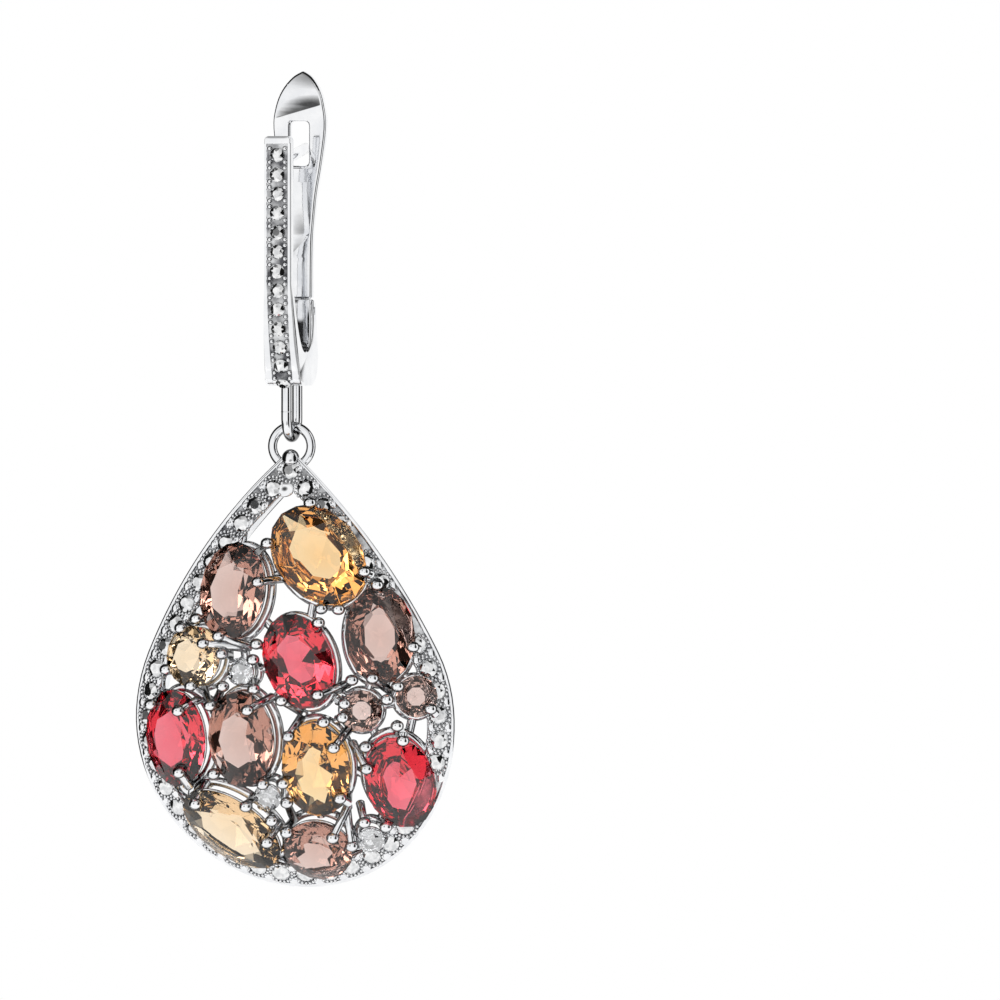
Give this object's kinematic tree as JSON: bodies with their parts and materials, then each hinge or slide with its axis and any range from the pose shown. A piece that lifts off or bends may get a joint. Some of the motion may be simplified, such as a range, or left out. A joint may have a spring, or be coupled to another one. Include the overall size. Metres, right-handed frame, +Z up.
{
  "type": "drop earring",
  "caption": "Lever-back drop earring: a hinged lock set with small stones, a jump ring and a pierced drop-shaped pendant of mixed oval and round cut stones in claw baskets.",
  "frame": {"origin": "the middle of the ear post, between the lock's bar and the lever, where the earring hangs in the ear", "axes": "+Z up along the hanging earring, -Y out of its face, +X to the right as seen from the front"},
  "size_m": [0.0236, 0.0095, 0.0578],
  "materials": {
    "silver": "rhodium-bright polished silver",
    "citrine": "faceted, polished",
    "smoky_quartz": "faceted, polished",
    "garnet": "faceted, polished",
    "clear_stone": "faceted, polished"
  },
  "bodies": {
    "lock": {"lock_front": "silver"},
    "back_lever": {"lever": "silver"},
    "jump_link": {"link": "silver"},
    "drop": {"drop_setting": "silver", "citrine_top": "citrine", "citrine_left": "citrine", "citrine_centre": "citrine", "citrine_low": "citrine", "smoky_left": "smoky_quartz", "smoky_right": "smoky_quartz", "smoky_mid": "smoky_quartz", "smoky_small": "smoky_quartz", "smoky_edge": "smoky_quartz", "smoky_low": "smoky_quartz", "garnet_left": "garnet", "garnet_centre": "garnet", "garnet_right": "garnet", "clear_left": "clear_stone", "clear_low": "clear_stone", "clear_right": "clear_stone"}
  },
  "joints": [
    {"name": "lever_hinge", "type": "hinge", "parent": "lock", "child": "back_lever", "pos_m": [0, 0.00275, -0.0109], "axis": [-1, 0, 0], "range_deg": [0, 60]},
    {"name": "link_sway", "type": "hinge", "parent": "lock", "child": "jump_link", "pos_m": [0, 0.0005, -0.01499], "axis": [0, 1, 0], "range_deg": [-15, 15]},
    {"name": "drop_swing", "type": "hinge", "parent": "jump_link", "child": "drop", "pos_m": [0, 0.0005, -0.01907], "axis": [1, 0, 0], "range_deg": [-40, 40]}
  ]
}
